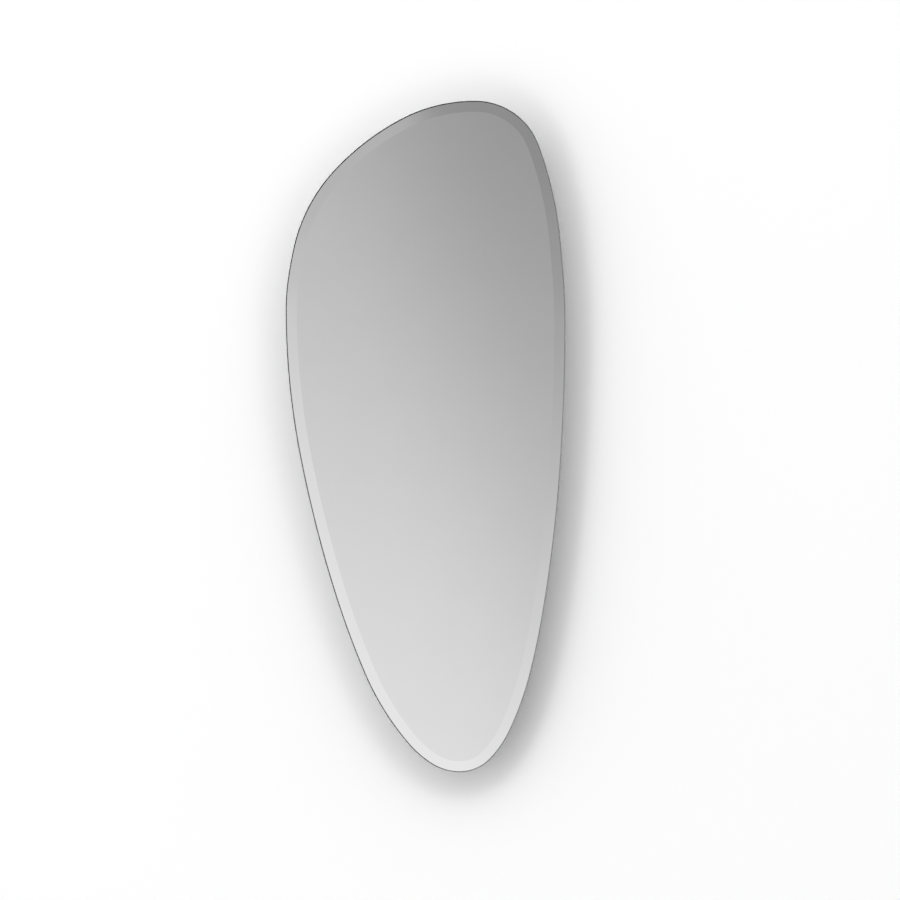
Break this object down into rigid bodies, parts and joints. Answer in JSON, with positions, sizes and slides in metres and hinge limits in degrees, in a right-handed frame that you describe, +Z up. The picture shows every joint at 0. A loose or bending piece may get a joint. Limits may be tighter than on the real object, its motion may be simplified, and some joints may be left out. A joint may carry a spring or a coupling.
{
  "type": "irregular shaped mirror",
  "caption": "Tall frameless wall mirror with an irregular leaf-like outline and a polished bevel, on an inset backing board that hooks onto a rail on the wall.",
  "frame": {"origin": "middle of the wall rail's row of screw holes, on the wall", "axes": "+X to the right as seen from the room, +Y into the wall, +Z up"},
  "size_m": [0.5, 0.0248, 1.2],
  "materials": {
    "silvered_glass": "polished float glass with a silvered back, bevelled and with ground edges",
    "safety_film": "thin pale grey polyethylene film with a woven reinforcement",
    "foam_tape": "closed-cell foam",
    "adhesive": "cured neutral mirror adhesive",
    "painted_board": "medium-density fibreboard sealed with matt dark paint",
    "rail_aluminium": "extruded, with fine lines along its length",
    "zinc_plated_steel": "bright zinc plating",
    "black_rubber": "moulded matt rubber"
  },
  "bodies": {
    "wall_rail": {"wall_rail": "rail_aluminium"},
    "mirror": {"mirror_glass": "silvered_glass", "safety_film": "safety_film", "mounting_tape": "foam_tape", "mirror_adhesive": "adhesive", "backing_board": "painted_board", "mirror_rail": "rail_aluminium", "mirror_rail_screws": "zinc_plated_steel", "bumper_left": "black_rubber", "bumper_right": "black_rubber", "bumper_washers": "zinc_plated_steel", "bumper_screws": "zinc_plated_steel"}
  },
  "joints": [
    {"name": "lift_off", "type": "slide", "parent": "wall_rail", "child": "mirror", "axis": [0, 0, 1], "range_m": [0, 0.015]}
  ]
}
